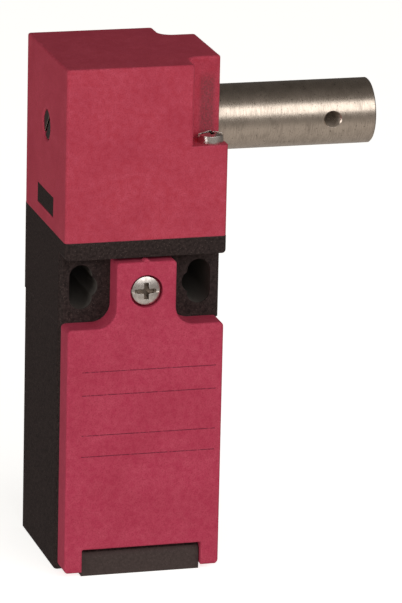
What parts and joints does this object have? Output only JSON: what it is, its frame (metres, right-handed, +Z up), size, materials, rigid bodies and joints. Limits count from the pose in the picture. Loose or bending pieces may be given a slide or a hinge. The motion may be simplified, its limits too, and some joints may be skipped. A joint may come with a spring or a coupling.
{
  "type": "safety position switch",
  "caption": "Slim safety position switch with a square head, a round sideways spindle with a cross hole, slotted fixing ears, a hinged front cover and a bottom cable entry.",
  "frame": {"origin": "centre of the line between the two fixing holes, in the flat back face", "axes": "+X to the right along the spindle, +Y to the back into the mounting surface, +Z up from the cable entry to the head"},
  "size_m": [0.0606, 0.0312, 0.095],
  "materials": {
    "black_plastic": "fine matt texture, glass-filled",
    "red_plastic": "satin moulded",
    "stainless_steel": "turned and ground",
    "nickel_plated_steel": "bright nickel plating",
    "spring_steel": "drawn wire",
    "hardened_steel": "ground",
    "sintered_bronze": "oil-filled, dull",
    "brass": "turned",
    "silver": "silver contact alloy",
    "sealing_rubber": "matt",
    "acetal": "natural, smooth",
    "block_plastic": "grey thermoset",
    "block_cover_plastic": "light grey moulded"
  },
  "bodies": {
    "housing": {"block_screw_inserts": "brass", "block_screws": "nickel_plated_steel", "body_housing": "black_plastic", "contact_block_base": "block_plastic", "contact_block_cover": "block_cover_plastic", "cover_screw_insert": "brass", "fixed_contact_1": "brass", "fixed_contact_2": "brass", "fixed_contact_3": "brass", "fixed_contact_4": "brass", "fixed_contact_5": "brass", "fixed_contact_6": "brass", "fixed_contact_tips": "silver", "head_gasket": "sealing_rubber", "head_housing": "red_plastic", "head_screw_inserts": "brass", "head_screws": "nickel_plated_steel", "return_spring": "spring_steel", "spindle_bush_inner": "sintered_bronze", "spindle_bush_outer": "sintered_bronze", "spindle_end_seal": "sealing_rubber", "spindle_seal": "sealing_rubber", "tappet_guide": "brass", "tappet_seal": "sealing_rubber", "tappet_spring": "spring_steel", "terminal_clamps": "nickel_plated_steel", "terminal_screws": "nickel_plated_steel", "thrust_washer": "acetal"},
    "spindle": {"spindle": "stainless_steel", "cam": "hardened_steel", "cam_pin": "hardened_steel"},
    "tappet": {"tappet": "acetal"},
    "carrier": {"contact_carrier": "acetal", "bridge_closed_upper": "brass", "bridge_closed_lower": "brass", "bridge_open": "brass", "bridge_tips": "silver", "contact_springs": "spring_steel"},
    "cover": {"front_cover": "red_plastic", "cover_gasket": "sealing_rubber", "cover_screw": "nickel_plated_steel", "cover_screw_retainer": "acetal"}
  },
  "joints": [
    {"name": "spindle_turn", "type": "hinge", "parent": "housing", "child": "spindle", "pos_m": [0.015, -0.015, 0.0276], "axis": [1, 0, 0], "range_deg": [0, 180]},
    {"name": "tappet_slide", "type": "slide", "parent": "housing", "child": "tappet", "axis": [0, 0, -1], "range_m": [0, 0.003], "deforming": ["tappet_spring"]},
    {"name": "carrier_slide", "type": "slide", "parent": "housing", "child": "carrier", "axis": [0, 0, -1], "range_m": [0, 0.003], "deforming": ["return_spring"]},
    {"name": "cover_open", "type": "hinge", "parent": "housing", "child": "cover", "pos_m": [0, -0.0274, -0.0517], "axis": [1, 0, 0], "range_deg": [0, 90]}
  ],
  "couplings": [
    {"joint": "tappet_slide", "follows": "spindle_turn", "m_per_rad": 0.0009549},
    {"joint": "carrier_slide", "follows": "spindle_turn", "m_per_rad": 0.0009549}
  ]
}
